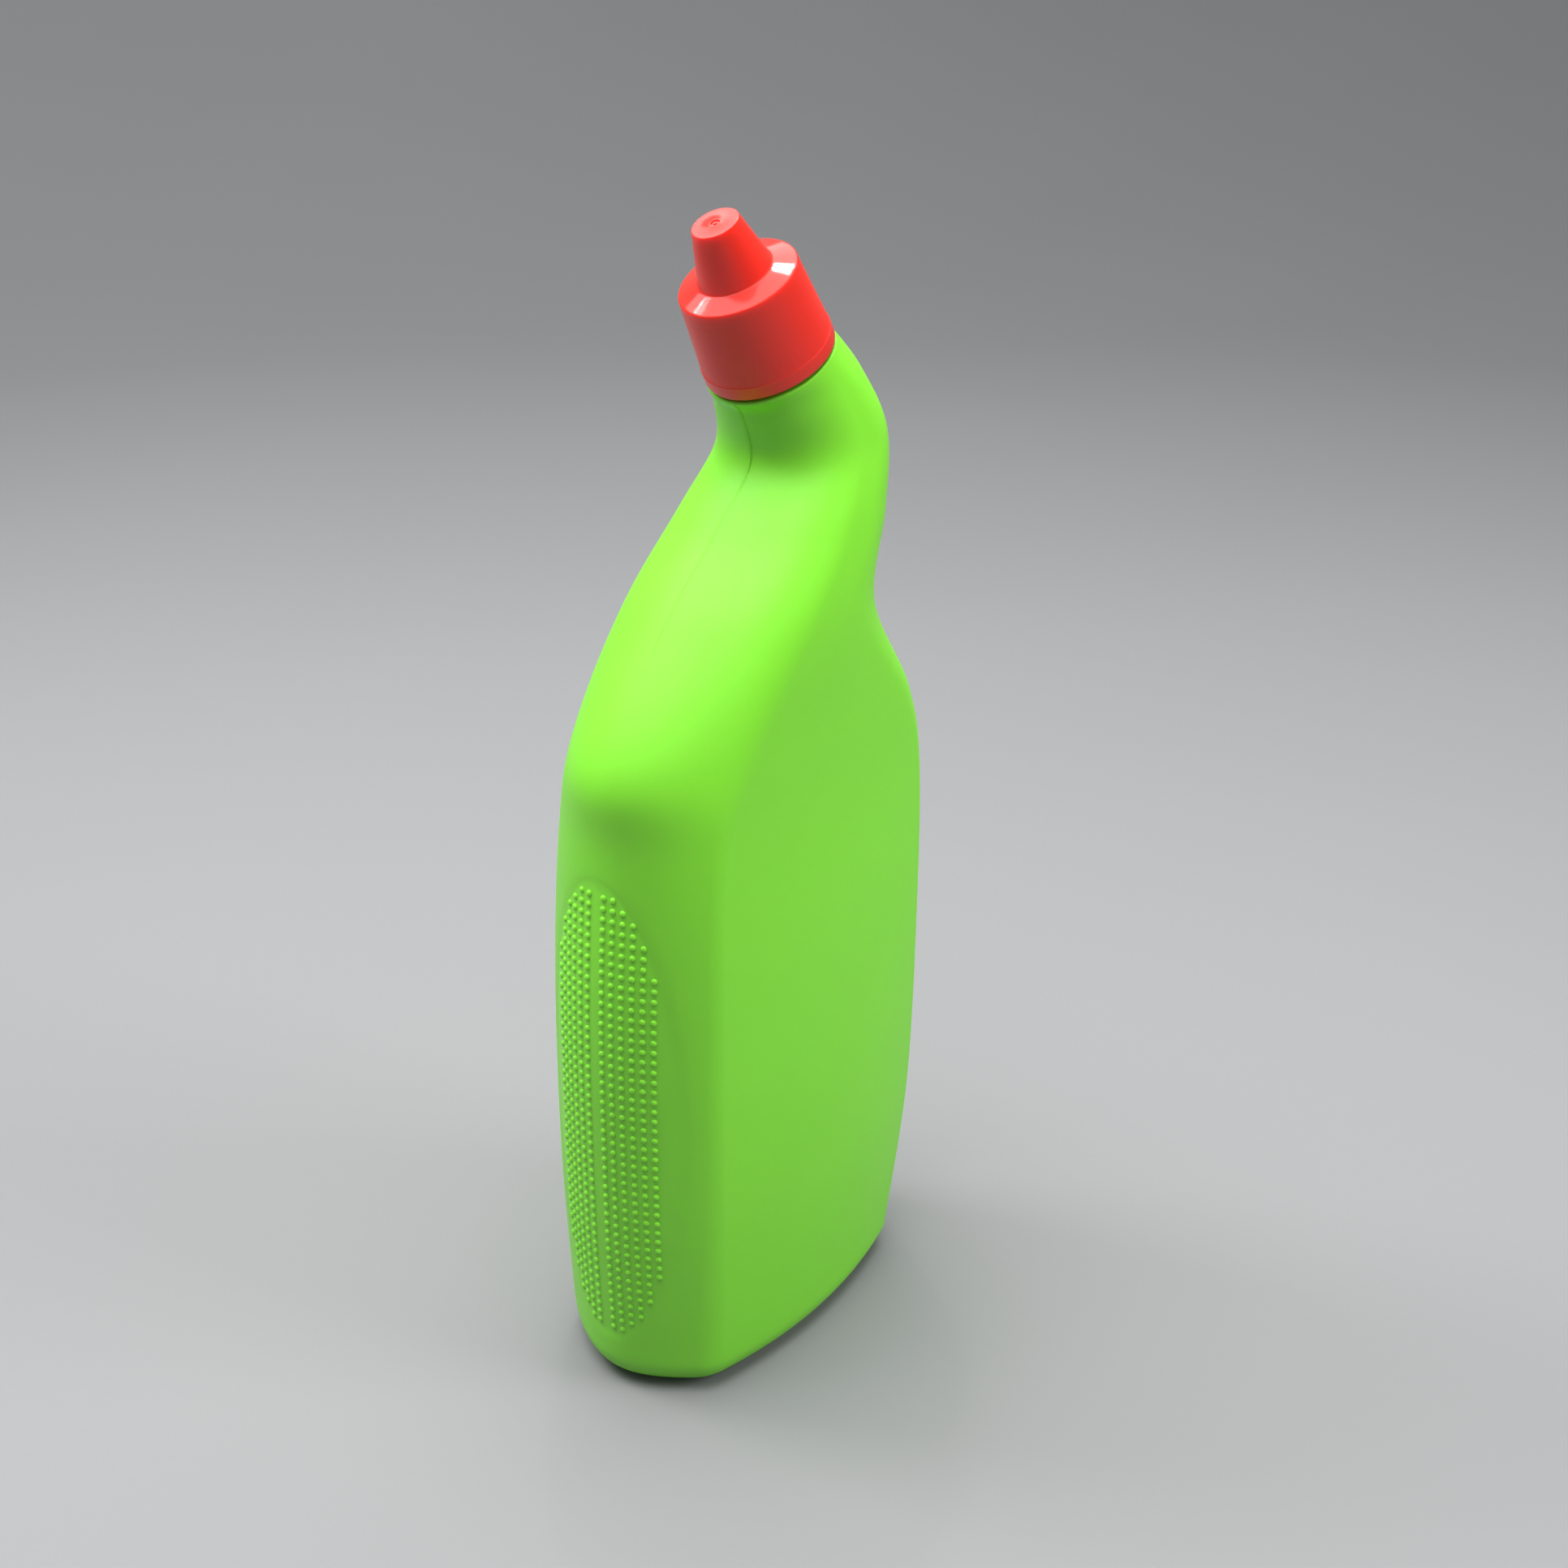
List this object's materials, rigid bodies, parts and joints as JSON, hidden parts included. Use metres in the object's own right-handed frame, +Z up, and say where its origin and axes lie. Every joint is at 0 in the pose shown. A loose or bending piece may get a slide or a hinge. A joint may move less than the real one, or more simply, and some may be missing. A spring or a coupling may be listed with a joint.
{
  "type": "toilet cleaner bottle",
  "caption": "Flat-sided plastic bottle with a bent neck, a spout plug, a screw cap with a closed nose and raised grip dots on one narrow side.",
  "frame": {"origin": "on the floor, under the middle of the bottle's width and depth", "axes": "+Z up, X across the broad faces with the grip dots and the leaning neck towards -X, Y through the thickness"},
  "size_m": [0.1048, 0.0594, 0.2682],
  "materials": {
    "bottle": "satin blown polyethylene",
    "spout_plug": "natural moulded polyethylene",
    "cap": "moulded polypropylene, semi-gloss"
  },
  "bodies": {
    "bottle": {"bottle": "bottle", "spout_plug": "spout_plug"},
    "cap": {"cap": "cap"}
  },
  "joints": [
    {"name": "cap_lift", "type": "slide", "parent": "bottle", "child": "cap", "axis": [-0.512, 0, 0.859], "range_m": [0, 0.031]}
  ]
}
